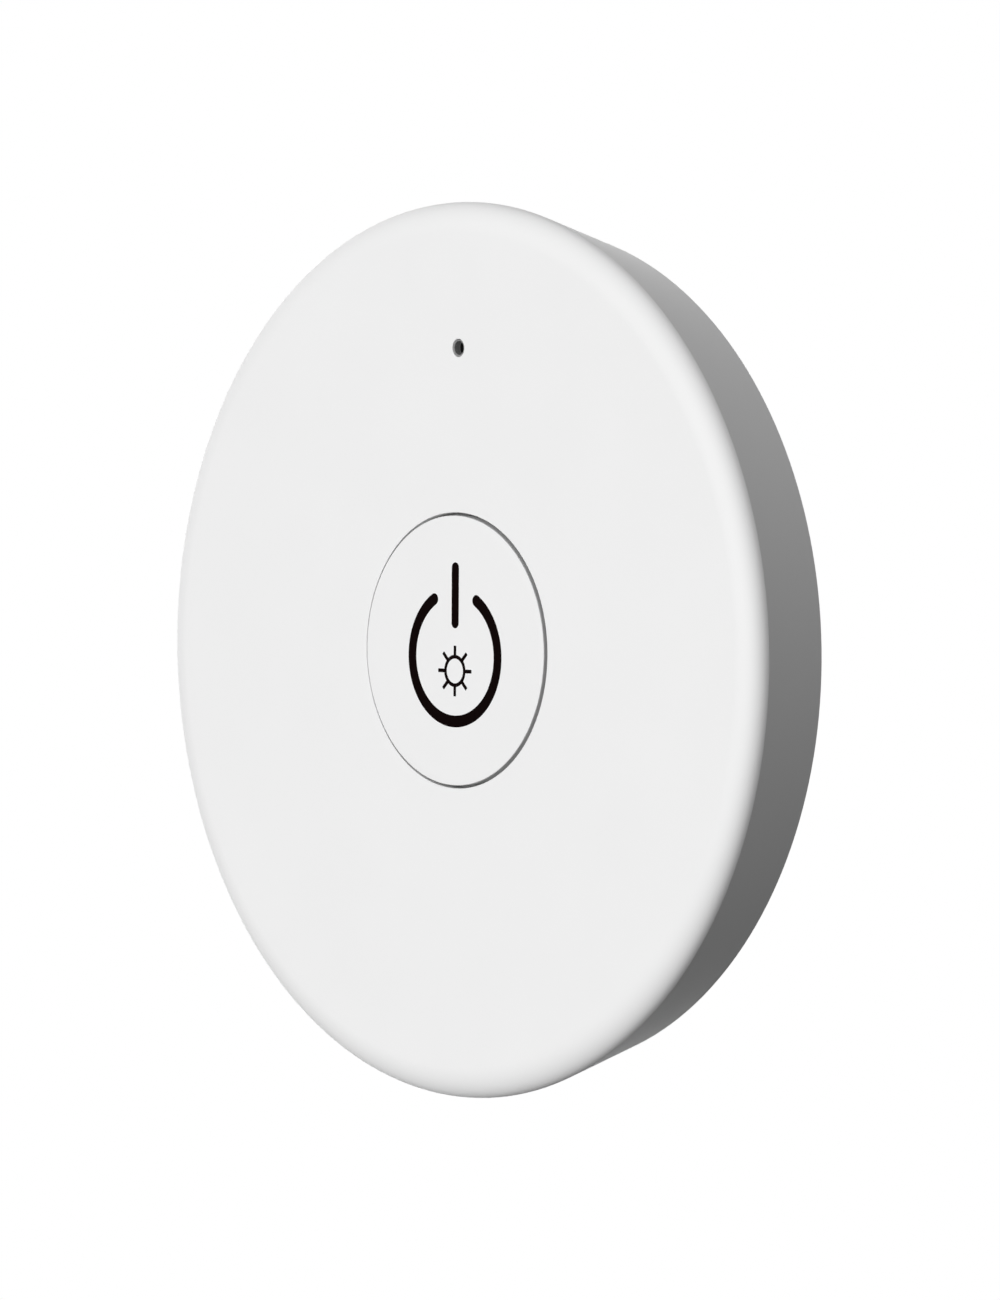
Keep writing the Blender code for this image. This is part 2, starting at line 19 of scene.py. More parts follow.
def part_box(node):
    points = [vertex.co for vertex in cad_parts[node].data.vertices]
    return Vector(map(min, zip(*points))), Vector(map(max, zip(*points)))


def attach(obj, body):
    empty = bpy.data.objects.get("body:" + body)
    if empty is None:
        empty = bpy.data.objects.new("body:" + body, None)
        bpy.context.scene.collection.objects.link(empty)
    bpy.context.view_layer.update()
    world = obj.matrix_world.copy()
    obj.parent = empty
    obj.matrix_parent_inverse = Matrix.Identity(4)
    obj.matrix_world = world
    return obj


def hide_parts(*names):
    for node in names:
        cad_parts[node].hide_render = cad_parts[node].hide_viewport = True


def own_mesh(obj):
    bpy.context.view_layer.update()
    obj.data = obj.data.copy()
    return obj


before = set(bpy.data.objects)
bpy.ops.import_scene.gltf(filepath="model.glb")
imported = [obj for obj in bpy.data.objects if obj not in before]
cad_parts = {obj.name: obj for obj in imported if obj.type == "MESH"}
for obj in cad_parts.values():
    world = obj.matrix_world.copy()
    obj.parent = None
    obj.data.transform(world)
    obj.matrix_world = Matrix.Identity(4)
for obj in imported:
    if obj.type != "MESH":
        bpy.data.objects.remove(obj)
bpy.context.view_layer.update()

MM = 0.001
FULL_TURN = 2.0 * math.pi
FULL_CIRCLE = 360.0                 # the same in degrees

# %% [markdown]
# ## Where things are
#
# The remote's axis is the Y axis. The wall is at Y = 0 and the face looks along -Y, so a distance from
# the wall, called "out" here, is -Y. The boxes of the nodes give these distances and the largest radii,
# and nothing has to be fitted by eye.

# %% Measure the frame
def heights(node):
    """The lowest and highest distance of a node from the wall."""
    low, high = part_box(node)
    return -high.y, -low.y


def half_width(node):
    """The largest radius of a round node."""
    low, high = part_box(node)
    return (high.x - low.x) / 2.0


SHELL_REAR, FACE_OUT = heights("front_shell")
FACE_RADIUS = half_width("front_shell")
COVER_REAR, COLLAR_TOP = heights("back_cover")
BUTTON_LOW, BUTTON_TOP = heights("button_cap")
print(f"face {FACE_OUT / MM:.2f} mm out, {FACE_RADIUS / MM:.2f} mm in radius")
print(f"button {BUTTON_LOW / MM:.2f} to {BUTTON_TOP / MM:.2f} mm out")

# %% [markdown]
# ## Camera
#
# The remote is seen from its right side, almost level, through a long lens that hardly narrows the far
# side. A camera looks along its own -Z. A quarter turn about X makes it look level, the azimuth then
# takes it round the remote, and the last small turn is its roll.

# %% Place the camera
EDGE_DEEP = 1.4
RIM_OUT = FACE_OUT - EDGE_DEEP * MM
AZIMUTH = math.radians(49.0)
ELEVATION = math.radians(2.11)
ROLL = math.radians(0.31)
CAMERA_DISTANCE = 1.6
LENS = 620.4
AIM_RIGHT = 2.05 * MM
AIM_UP = 0.005 * MM


def add_camera():
    level = Matrix.Rotation(math.pi / 2.0 - ELEVATION, 4, "X")
    turn = Matrix.Rotation(AZIMUTH, 4, "Z") @ level @ Matrix.Rotation(ROLL, 4, "Z")
    data = bpy.data.cameras.new("camera")
    data.lens = LENS
    camera = bpy.data.objects.new("camera", data)
    bpy.context.scene.collection.objects.link(camera)
    rim_centre = Vector((0.0, -RIM_OUT, 0.0))
    offset = turn @ Vector((AIM_RIGHT, AIM_UP, CAMERA_DISTANCE))
    camera.matrix_world = Matrix.Translation(rim_centre + offset) @ turn
    bpy.context.scene.camera = camera
    return camera


print("camera at", add_camera().matrix_world.translation)

# %% [markdown]
# ## Floor and light
#
# The remote hangs in front of plain white. A big softbox lights its face, and a weaker one lights the
# rear from the far side. The side wall grows darker towards the bottom, so the room's own light comes
# from above, and a little from the wall behind. The camera itself sees the room as plain white.
#
# The standard view transform keeps the whites white. The floor lies well below, glows as brightly as the
# world and casts no light on the remote, so no horizon shows.

# %% Set the stage
WHITE = (1.0, 1.0, 1.0, 1.0)
FLOOR_DROP = 0.35
FLOOR_RADIUS = 4.0
KEY_AZIMUTH = math.radians(4.0)
KEY_ELEVATION = math.radians(3.0)
KEY_POWER = 82.0
KEY_SIZE = 3.0
REAR_AZIMUTH = math.radians(238.0)
REAR_POWER = 36.0
REAR_SIZE = 3.0
SOFTBOX_DISTANCE = 2.5
ROOM_ABOVE = 0.58                   # how much light comes from above
ROOM_BEHIND = 0.28                  # and from the wall behind the remote
ROOM_LEAST = 0.035                  # what still comes from everywhere else


def add_floor():
    bpy.ops.object.select_all(action="DESELECT")
    bpy.ops.mesh.primitive_circle_add(
        vertices=96, radius=FLOOR_RADIUS, fill_type="NGON", location=(0.0, 0.0, -FLOOR_DROP))
    floor = bpy.context.active_object
    floor.name = "floor"
    floor.visible_diffuse = False
    floor.visible_glossy = False
    floor.visible_transmission = False
    floor.visible_shadow = False
    return floor


def add_softbox(name, azimuth, elevation, power, size):
    """A round softbox that shines on the remote from a direction round it, 0 being the front."""
    light = bpy.data.lights.new(name, "AREA")
    light.shape = "DISK"
    light.size = size
    light.energy = power
    softbox = bpy.data.objects.new(name, light)
    bpy.context.scene.collection.objects.link(softbox)
    toward = Vector((
        math.sin(azimuth) * math.cos(elevation),
        -math.cos(azimuth) * math.cos(elevation),
        math.sin(elevation),
    ))
    softbox.rotation_euler = toward.to_track_quat("Z", "Y").to_euler()
    softbox.location = toward * SOFTBOX_DISTANCE
    softbox.visible_camera = False
    return softbox


def add_world():
    world = bpy.data.worlds.new("room")
    world.use_nodes = True
    bpy.context.scene.world = world
    tree = world.node_tree
    nodes, links = tree.nodes, tree.links
    nodes.clear()
    output = nodes.new("ShaderNodeOutputWorld")
    mix = nodes.new("ShaderNodeMixShader")
    path = nodes.new("ShaderNodeLightPath")
    seen = nodes.new("ShaderNodeBackground")
    felt = nodes.new("ShaderNodeBackground")
    place = nodes.new("ShaderNodeTexCoord")
    split = nodes.new("ShaderNodeSeparateXYZ")
    seen.inputs["Color"].default_value = WHITE
    felt.inputs["Color"].default_value = WHITE
    links.new(place.outputs["Generated"], split.inputs["Vector"])

    def clamped(operation, first, second, lowest=0.0):
        """One step of maths on the direction, never below its lowest value."""
        step = nodes.new("ShaderNodeMath")
        step.operation = operation
        limit = nodes.new("ShaderNodeMath")
        limit.operation = "MAXIMUM"
        limit.inputs[1].default_value = lowest
        for socket, value in zip(step.inputs, (first, second)):
            if isinstance(value, float):
                socket.default_value = value
            else:
                links.new(value, socket)
        links.new(step.outputs[0], limit.inputs[0])
        return limit.outputs[0]

    above = clamped("MULTIPLY", split.outputs["Z"], ROOM_ABOVE)
    behind = clamped("MULTIPLY", split.outputs["Y"], ROOM_BEHIND, lowest=-1.0)
    links.new(clamped("ADD", above, behind, lowest=ROOM_LEAST), felt.inputs["Strength"])
    links.new(path.outputs["Is Camera Ray"], mix.inputs["Fac"])
    links.new(felt.outputs[0], mix.inputs[1])
    links.new(seen.outputs[0], mix.inputs[2])
    links.new(mix.outputs[0], output.inputs["Surface"])
    return world


bpy.context.scene.view_settings.view_transform = "Standard"
floor = add_floor()
add_softbox("key", KEY_AZIMUTH, KEY_ELEVATION, KEY_POWER, KEY_SIZE)
add_softbox("rear_fill", REAR_AZIMUTH, 0.0, REAR_POWER, REAR_SIZE)
add_world()
print("floor", FLOOR_DROP, "m below the remote's axis")

# %% [markdown]
# ## Modelling helpers
#
# Almost every piece of the remote is turned, so the main helper works as a lathe does. A plane is merged
# to one point, that point is extruded along the profile, and the line is spun about the axis. Merging by
# distance closes the seam and the poles, and recalculating the normals turns every face outwards.
#
# Two rules keep the operators safe. Everything is deselected first, because an operator acts on all that
# is selected. Parts of a mesh are then selected in code, by their place.

# %% Start and finish a piece
MERGE = 0.000002
SPIN_AXIS = (0.0, 1.0, 0.0)         # the spin operator turns clockwise, seen from the axis's tip
SMOOTH_ANGLE = math.radians(12.0)
QUARTER_STEPS = 8                   # steps of a small rounding


def start_piece(name, add, **settings):
    """Add a primitive with nothing else selected, name it and open it in edit mode."""
    bpy.ops.object.select_all(action="DESELECT")
    add(**settings)
    piece = bpy.context.active_object
    piece.name = name
    piece.data.name = name
    bpy.ops.object.mode_set(mode="EDIT")
    bpy.ops.mesh.select_all(action="SELECT")
    return piece


def select_points(piece, wanted):
    """Select the points of the open mesh for whose place wanted(x, y, z) is true."""
    bpy.ops.mesh.select_all(action="DESELECT")
    bpy.ops.mesh.select_mode(type="VERT")
    shape = bmesh.from_edit_mesh(piece.data)
    for point in shape.verts:
        point.select = wanted(*(piece.matrix_world @ point.co))
    shape.select_flush(True)
    bmesh.update_edit_mesh(piece.data)


def close_piece(piece):
    """Merge doubles, turn the faces outwards, leave edit mode and shade the curved faces smooth."""
    bpy.ops.mesh.select_all(action="SELECT")
    bpy.ops.mesh.remove_doubles(threshold=MERGE)
    bpy.ops.mesh.normals_make_consistent(inside=False)
    bpy.ops.object.mode_set(mode="OBJECT")
    bpy.ops.object.transform_apply(location=True, rotation=True, scale=True)
    bpy.ops.object.shade_smooth_by_angle(angle=SMOOTH_ANGLE)
    return piece


def at(x, out, height):
    """A place on the remote: to the right, out of the wall and up, in metres."""
    return Vector((x, -out, height))


# %% Turn a profile about the axis
def turn_profile(name, profile, centre=(0.0, 0.0), steps=96):
    """A turned piece from (radius, out) points in millimetres, about an axis that looks out of the wall.

    A profile that starts and ends on the axis, or on one point, gives a closed piece.
    """
    x, height = centre[0] * MM, centre[1] * MM
    corners = [at(x + radius * MM, out * MM, height) for radius, out in profile]
    piece = start_piece(name, bpy.ops.mesh.primitive_plane_add, size=MM, location=corners[0])
    bpy.ops.mesh.merge(type="CENTER")
    for here, there in zip(corners, corners[1:]):
        bpy.ops.mesh.extrude_region_move(TRANSFORM_OT_translate={"value": there - here})
    bpy.ops.mesh.select_all(action="SELECT")
    bpy.ops.mesh.spin(steps=steps, angle=FULL_TURN, center=at(x, 0.0, height), axis=SPIN_AXIS)
    return close_piece(piece)


def quarter(radius, out, across, deep, start, end, steps):
    """Points on an ellipse about (radius, out), from one angle to another in degrees."""
    points = []
    for step in range(steps + 1):
        angle = math.radians(start + (end - start) * step / steps)
        points.append((radius + across * math.cos(angle), out + deep * math.sin(angle)))
    return points


# %% Cut and join
def combine(piece, other, operation):
    """Cut another piece out of this one, or join it on, and apply the result."""
    bpy.ops.object.select_all(action="DESELECT")
    bpy.context.view_layer.objects.active = piece
    piece.select_set(True)
    modifier = piece.modifiers.new(other.name, "BOOLEAN")
    modifier.object = other
    modifier.operation = operation
    modifier.solver = "EXACT"
    bpy.ops.object.modifier_apply(modifier=modifier.name)
    bpy.data.objects.remove(other, do_unlink=True)
    bpy.ops.object.shade_smooth_by_angle(angle=SMOOTH_ANGLE)
    return piece


def copy_turned(piece, name, angle):
    """A copy of a piece with its own mesh, turned about the remote's axis by an angle in degrees."""
    copy = piece.copy()
    copy.data = piece.data.copy()
    copy.name = name
    copy.data.name = name
    bpy.context.scene.collection.objects.link(copy)
    copy.data.transform(Matrix.Rotation(math.radians(-angle), 4, "Y"))
    return copy


def join_pieces(pieces):
    """Make one mesh of several pieces that don't touch."""
    bpy.ops.object.select_all(action="DESELECT")
    for piece in pieces:
        piece.select_set(True)
    bpy.context.view_layer.objects.active = pieces[0]
    bpy.ops.object.join()
    return pieces[0]


def report(piece):
    low = min(-(piece.matrix_world @ point.co).y for point in piece.data.vertices) / MM
    high = max(-(piece.matrix_world @ point.co).y for point in piece.data.vertices) / MM
    print(f"{piece.name}: {len(piece.data.polygons)} faces, {low:.2f} to {high:.2f} mm out")


# %% [markdown]
# ## Front shell
#
# The shell is one moulding: a flat face with a softly rounded edge, and a straight wall that draws in
# towards the wall of the room. The rounded edge is a quarter of an ellipse, flatter than a circle, and it
# meets the wall in a crisp line. It is the first thing that the eye sees, so it gets many steps.
#
# The shell is turned first as one closed profile, outside and bore together. The small things inside,
# which are three bayonet ledges with stops, three screw bosses, the indicator's tube and the button's
# key, are then joined on, and the holes are cut.

# %% Turn the shell
face, radius = FACE_OUT / MM, FACE_RADIUS / MM
rear = SHELL_REAR / MM
EDGE_ACROSS = 2.2
EDGE_STEPS = 24
REAR_RADIUS = 29.8
REAR_CHAMFER = 0.2
REAR_ROUNDING = 0.06
BORE_RADIUS = 28.2
BORE_FILLET = 0.6
BORE_CHAMFER = 0.15
CEILING = face - 1.4
HOLE_RADIUS = 9.85
HOLE_EDGE = 0.05
FLAT_RING = 0.6                     # the face stays flat this far beside its edges
WALL_RING = 0.3                     # and the wall above its rear chamfer
SHELL_STEPS = 192

rim = face - EDGE_DEEP
taper = (radius - REAR_RADIUS) / (rim - rear)
shell_profile = quarter(
    HOLE_RADIUS + HOLE_EDGE, face - HOLE_EDGE, HOLE_EDGE, HOLE_EDGE, 180.0, 90.0, QUARTER_STEPS)
shell_profile += [(HOLE_RADIUS + FLAT_RING, face), (radius - EDGE_ACROSS - FLAT_RING, face)]
shell_profile += quarter(radius - EDGE_ACROSS, rim, EDGE_ACROSS, EDGE_DEEP, 90.0, 0.0, EDGE_STEPS)
shell_profile += [
    (REAR_RADIUS + (REAR_CHAMFER + WALL_RING) * taper, rear + REAR_CHAMFER + WALL_RING),
    (REAR_RADIUS + REAR_CHAMFER * taper, rear + REAR_CHAMFER),
    (REAR_RADIUS + REAR_CHAMFER * taper * 0.5 - REAR_ROUNDING, rear + REAR_ROUNDING),
    (REAR_RADIUS - REAR_CHAMFER, rear),
    (BORE_RADIUS + BORE_CHAMFER, rear),
    (BORE_RADIUS, rear + BORE_CHAMFER),
]
shell_profile += quarter(
    BORE_RADIUS - BORE_FILLET, CEILING - BORE_FILLET, BORE_FILLET, BORE_FILLET, 0.0, 90.0, 6)
shell_profile += [(HOLE_RADIUS, CEILING)]
shell_profile += [shell_profile[0]]

front_shell = turn_profile("shell_moulding", shell_profile, steps=SHELL_STEPS)
report(front_shell)

# %% [markdown]
# The things inside stand on the shell's ceiling or on its wall. Each kind is made once, with a small
# overlap into the plastic that it grows from, and copied round the axis. Everything that is added is
# joined in one go, and everything that is cut goes in a second one.

# %% Grow the bosses, the ledges and the key inside
INNER_STEPS = 40
OVERLAP = 0.4                       # how far an added shape reaches into the shell
THIRD = 120.0                       # a third of a turn
TOP_ANGLE = 90.0                    # the direction of the top, seen from the face
BOSS_CIRCLE = 21.5
BOSS_RADIUS = 2.2
BOSS_CHAMFER = 0.2
BOSS_LOW = 6.5
LEDGE_LOW, LEDGE_HIGH = 1.9, 2.9
LEDGE_INNER = 26.3
LEDGE_WIDTH = 24.0                  # in degrees
LED_HEIGHT = 21.6
TUBE_RADIUS = 1.9
TUBE_LOW = 7.05
KEY_SIZE_ACROSS, KEY_SIZE_OUT, KEY_SIZE_UP = 1.6, 0.6, 1.8
KEY_HEIGHT = -10.95
STOP_LOW, STOP_HIGH = 2.4, 4.1
STOP_INNER = 26.4
STOP_ANGLE, STOP_WIDTH = 100.65, 2.5
SECTOR_STEPS, STOP_STEPS = 16, 4


def turn_sector(name, inner, outer, low, high, middle, width, steps):
    """A piece of a flat ring: its section is drawn once and spun through an angle, in degrees."""
    section = [(inner, low), (outer, low), (outer, high), (inner, high)]
    start = math.radians(middle - width / 2.0)
    corners = [
        at(r * MM * math.cos(start), out * MM, r * MM * math.sin(start)) for r, out in section]
    piece = start_piece(name, bpy.ops.mesh.primitive_plane_add, size=MM, location=corners[0])
    bpy.ops.mesh.merge(type="CENTER")
    for here, there in zip(corners, corners[1:]):
        bpy.ops.mesh.extrude_region_move(TRANSFORM_OT_translate={"value": there - here})
    bpy.ops.mesh.select_all(action="SELECT")
    bpy.ops.mesh.edge_face_add()
    bpy.ops.mesh.spin(
        steps=steps, angle=math.radians(width), center=(0.0, 0.0, 0.0), axis=SPIN_AXIS)
    bpy.ops.mesh.select_all(action="SELECT")
    bpy.ops.mesh.remove_doubles(threshold=MERGE)
    bpy.ops.mesh.select_all(action="DESELECT")
    return close_piece(piece)


def box_piece(name, size, height, out_low):
    """A block from a cube, from its size across, out and up, its height and its lowest side."""
    place = at(0.0, (out_low + size[1] / 2.0) * MM, height * MM)
    piece = start_piece(name, bpy.ops.mesh.primitive_cube_add, size=MM, location=place)
    bpy.ops.transform.resize(value=size)
    return close_piece(piece)


boss_profile = [
    (0.0, BOSS_LOW),
    (BOSS_RADIUS - BOSS_CHAMFER, BOSS_LOW),
    (BOSS_RADIUS, BOSS_LOW + BOSS_CHAMFER),
    (BOSS_RADIUS, CEILING + OVERLAP),
    (0.0, CEILING + OVERLAP),
]
boss = turn_profile(
    "boss", boss_profile, centre=(0.0, -BOSS_CIRCLE), steps=INNER_STEPS)
grown = [boss] + [copy_turned(boss, f"boss_{index}", index * THIRD) for index in (1, 2)]

ledge = turn_sector(
    "ledge", LEDGE_INNER, BORE_RADIUS + OVERLAP, LEDGE_LOW, LEDGE_HIGH, TOP_ANGLE, LEDGE_WIDTH,
    SECTOR_STEPS)
grown += [ledge] + [copy_turned(ledge, f"ledge_{index}", index * THIRD) for index in (1, 2)]

tube_profile = [
    (0.0, TUBE_LOW),
    (TUBE_RADIUS, TUBE_LOW),
    (TUBE_RADIUS, CEILING + OVERLAP),
    (0.0, CEILING + OVERLAP),
]
grown.append(turn_profile("tube", tube_profile, centre=(0.0, LED_HEIGHT), steps=INNER_STEPS))
key_size = (KEY_SIZE_ACROSS, KEY_SIZE_OUT + OVERLAP, KEY_SIZE_UP)
grown.append(box_piece("key", key_size, KEY_HEIGHT, CEILING - KEY_SIZE_OUT))
front_shell = combine(front_shell, join_pieces(grown), "UNION")

stop = turn_sector(
    "stop", STOP_INNER, BORE_RADIUS + OVERLAP, STOP_LOW, STOP_HIGH, STOP_ANGLE, STOP_WIDTH,
    STOP_STEPS)
stops = [stop] + [copy_turned(stop, f"stop_{index}", index * THIRD) for index in (1, 2)]
front_shell = combine(front_shell, join_pieces(stops), "UNION")
report(front_shell)

# %% Cut the holes
LED_HOLE = 0.64
HOLE_LIP = 0.06
PILOT_RADIUS = 0.9
PILOT_ROOF = 0.7                    # plastic left over the end of a pilot hole
RECESS_RADIUS, RECESS_DEPTH = 1.1, 0.5
CLEAR_BELOW, CLEAR_ABOVE = 1.0, 0.5  # how far a cutter sticks out of the plastic

pilot_profile = [
    (0.0, BOSS_LOW - CLEAR_BELOW),
    (PILOT_RADIUS, BOSS_LOW - CLEAR_BELOW),
    (PILOT_RADIUS, face - PILOT_ROOF),
    (0.0, face - PILOT_ROOF),
]
pilot = turn_profile("pilot", pilot_profile, centre=(0.0, -BOSS_CIRCLE), steps=INNER_STEPS)
cutters = [pilot] + [copy_turned(pilot, f"pilot_{index}", index * THIRD) for index in (1, 2)]
pinhole_profile = [
    (0.0, TUBE_LOW - CLEAR_BELOW),
    (RECESS_RADIUS, TUBE_LOW - CLEAR_BELOW),
    (RECESS_RADIUS, TUBE_LOW + RECESS_DEPTH),
    (LED_HOLE, TUBE_LOW + RECESS_DEPTH),
]
pinhole_profile += quarter(
    LED_HOLE + HOLE_LIP, face - HOLE_LIP, HOLE_LIP, HOLE_LIP, 180.0, 90.0, QUARTER_STEPS)
pinhole_profile += [(LED_HOLE + HOLE_LIP, face + CLEAR_ABOVE), (0.0, face + CLEAR_ABOVE)]
cutters.append(
    turn_profile("pinhole", pinhole_profile, centre=(0.0, LED_HEIGHT), steps=INNER_STEPS))
front_shell = combine(front_shell, join_pieces(cutters), "DIFFERENCE")
report(front_shell)

# %% [markdown]
# ## Button
#
# The button is a shallow cap whose top stands a hair above the face, so its edge shows as a thin ring: a
# dark gap where it faces the viewer, and hardly a line on the other side. The gap is dark from its own
# shade and from shade painted on the button's side. It is turned with a tiny rounding at its top edge,
# and a slot in its flange takes the key that keeps the symbol upright.
#
# The ink is a film on the cap. The cap's top is lowered by the film's thickness, so the two together
# are as high as the imported model says.

# %% Turn the button
INK_THICK = 0.01
top = BUTTON_TOP / MM - INK_THICK
flange_low = BUTTON_LOW / MM
BUTTON_RADIUS = 9.65
BUTTON_EDGE = 0.06
BUTTON_FLAT = 0.5                   # the top stays flat this far beside its edge
BUTTON_STEPS = 144
FLANGE_RADIUS = 10.85
FLANGE_THICK = 0.6
SKIRT_INNER = 8.65
PLATE_LOW = 8.1
PUSHER_RADIUS = 1.8
PUSHER_LOW = 7.9
SLOT_SIZE = (2.0, 2.6, 2.0)

button_profile = [(0.0, top), (BUTTON_RADIUS - BUTTON_FLAT, top)]
button_profile += quarter(
    BUTTON_RADIUS - BUTTON_EDGE, top - BUTTON_EDGE, BUTTON_EDGE, BUTTON_EDGE, 90.0, 0.0,
    QUARTER_STEPS)
button_profile += [
    (BUTTON_RADIUS, flange_low + FLANGE_THICK),
    (FLANGE_RADIUS, flange_low + FLANGE_THICK),
    (FLANGE_RADIUS, flange_low),
    (SKIRT_INNER, flange_low),
    (SKIRT_INNER, PLATE_LOW),
    (PUSHER_RADIUS, PLATE_LOW),
    (PUSHER_RADIUS, PUSHER_LOW),
    (0.0, PUSHER_LOW),
]
button = turn_profile("button_moulding", button_profile, steps=BUTTON_STEPS)
slot_cutter = box_piece("slot", SLOT_SIZE, -FLANGE_RADIUS, flange_low - CLEAR_BELOW)
button = combine(button, slot_cutter, "DIFFERENCE")
report(button)

# %% [markdown]
# ## Printed symbols
#
# The power symbol is a broken ring with a bar in its gap, and inside the ring is a small sun. Each
# stroke is a flat sheet. A bar is a plane whose corners are bevelled until its ends are half circles.
# An arc is a short line across the stroke, spun about the arc's centre, and its round ends are the outer
# half of that line spun about its middle. The sheets are then extruded by the film's thickness.

# %% Draw strokes
INK_DEPTH = 0.03                    # from inside the cap to the top of the film
END_STEPS = 10
ROUND_END = 0.499                   # share of the width that makes an end nearly a half circle


def thicken(piece):
    """Give a flat stroke its thickness: from inside the cap to just above it."""
    bpy.ops.mesh.select_all(action="SELECT")
    bpy.ops.mesh.remove_doubles(threshold=MERGE)
    bpy.ops.mesh.select_all(action="SELECT")
    bpy.ops.mesh.extrude_region_move(
        TRANSFORM_OT_translate={"value": (0.0, -INK_DEPTH * MM, 0.0)})
    return close_piece(piece)


def draw_bar(name, width, low, high, ends=1.0):
    """An upright bar from low to high on the button; ends says how round they are, from 0 to 1."""
    place = at(0.0, (top + INK_THICK - INK_DEPTH) * MM, (low + high) / 2.0 * MM)
    piece = start_piece(
        name, bpy.ops.mesh.primitive_plane_add, size=MM, location=place,
        rotation=(math.pi / 2.0, 0.0, 0.0))
    bpy.ops.transform.resize(value=(width, 1.0, high - low))
    bpy.ops.mesh.bevel(
        offset=width * MM * ROUND_END * ends, segments=END_STEPS, affect="VERTICES")
    return thicken(piece)


def draw_arc(name, height, middle_radius, width, first, sweep, steps):
    """A stroke along a circle that is centred above or below the button's centre, angles in degrees."""
    start = math.radians(first)
    out = (top + INK_THICK - INK_DEPTH) * MM
    centre = at(0.0, out, height * MM)

    def on_stroke(distance, angle):
        return centre + at(distance * MM * math.cos(angle), 0.0, distance * MM * math.sin(angle))

    spots = [on_stroke(middle_radius + side * width / 2.0, start) for side in (-1.0, 0.0, 1.0)]
    piece = start_piece(name, bpy.ops.mesh.primitive_plane_add, size=MM, location=spots[0])
    bpy.ops.mesh.merge(type="CENTER")
    for here, there in zip(spots, spots[1:]):
        bpy.ops.mesh.extrude_region_move(TRANSFORM_OT_translate={"value": there - here})
    bpy.ops.mesh.select_all(action="SELECT")
    bpy.ops.mesh.spin(
        steps=steps, angle=math.radians(sweep), center=centre, axis=SPIN_AXIS)
    if sweep < FULL_CIRCLE:
        for angle, side in ((start, -1.0), (start + math.radians(sweep), 1.0)):
            middle = on_stroke(middle_radius, angle)
            outer = on_stroke(middle_radius + width / 2.0, angle)
            ends = (middle, outer)
            select_points(piece, lambda x, y, z: any(
                (Vector((x, y, z)) - end).length < 10.0 * MERGE for end in ends))
            bpy.ops.mesh.spin(
                steps=END_STEPS, angle=math.pi * side, center=middle, axis=SPIN_AXIS)
    return thicken(piece)


# %% Draw the power symbol and the sun
ARC_HEIGHT = -0.43
ARC_RADIUS = 4.64
ARC_WIDTH = 0.84
ARC_GAP = 29.5                      # degrees to each side of the top
ARC_STEPS = 120
BAR_WIDTH = 0.77
BAR_LOW, BAR_HIGH = 1.59, 6.3
power_arc = draw_arc(
    "power_arc", ARC_HEIGHT, ARC_RADIUS, ARC_WIDTH, TOP_ANGLE + ARC_GAP,
    FULL_CIRCLE - 2.0 * ARC_GAP, ARC_STEPS)
power_bar = draw_bar("power_bar", BAR_WIDTH, BAR_LOW, BAR_HIGH)

SUN_HEIGHT = -1.46
SUN_RADIUS = 1.02
SUN_STROKE = 0.27
SUN_STEPS = 64
RAY_INNER, RAY_OUTER = 1.13, 1.81
RAY_ENDS = 0.3
RAY_COUNT = 8
sun_ring = draw_arc("sun_ring", SUN_HEIGHT, SUN_RADIUS, SUN_STROKE, 0.0, FULL_CIRCLE, SUN_STEPS)
first_ray = draw_bar("sun_ray_1", SUN_STROKE, RAY_INNER, RAY_OUTER, RAY_ENDS)
rays = [first_ray]
for index in range(1, RAY_COUNT):
    rays.append(copy_turned(first_ray, f"sun_ray_{index + 1}", index * FULL_CIRCLE / RAY_COUNT))
for ray in rays:
    ray.data.transform(Matrix.Translation(at(0.0, 0.0, SUN_HEIGHT * MM)))
ink_pieces = [power_arc, power_bar, sun_ring] + rays
for piece in ink_pieces:
    report(piece)

# %% [markdown]
# ## Indicator lens, cover and pad
#
# The lens is a smoked cup that lines the pinhole, with its window at the bottom. The cover closes the
# rear: a disc with a collar, and three lugs on the collar that lock under the shell's ledges. The pad is
# a thin disc of foam with glue on both sides. Its edge is cut, so it is square, and only its skin is a
# little soft.

# %% Turn the lens, the cover and the pad
lens_low, lens_rim = (value / MM for value in heights("indicator_lens"))
WINDOW_RADIUS = 0.5
WINDOW_DEPTH = 0.52
LENS_RADIUS = 0.6
LENS_LIP = 0.03
LENS_FLANGE_RADIUS = 1.0
LENS_FLANGE_THICK = 0.3
LENS_STEPS = 48
lens_profile = [(0.0, lens_rim - WINDOW_DEPTH), (WINDOW_RADIUS, lens_rim - WINDOW_DEPTH)]
lens_profile += quarter(
    WINDOW_RADIUS + LENS_LIP, lens_rim - LENS_LIP, LENS_LIP, LENS_LIP, 180.0, 90.0, QUARTER_STEPS)
lens_profile += quarter(
    LENS_RADIUS - LENS_LIP, lens_rim - LENS_LIP, LENS_LIP, LENS_LIP, 90.0, 0.0, QUARTER_STEPS)
lens_profile += [
    (LENS_RADIUS, lens_low + LENS_FLANGE_THICK),
    (LENS_FLANGE_RADIUS, lens_low + LENS_FLANGE_THICK),
    (LENS_FLANGE_RADIUS, lens_low),
    (0.0, lens_low),
]
lens = turn_profile(
    "smoked_lens_cup", lens_profile, centre=(0.0, LED_HEIGHT), steps=LENS_STEPS)

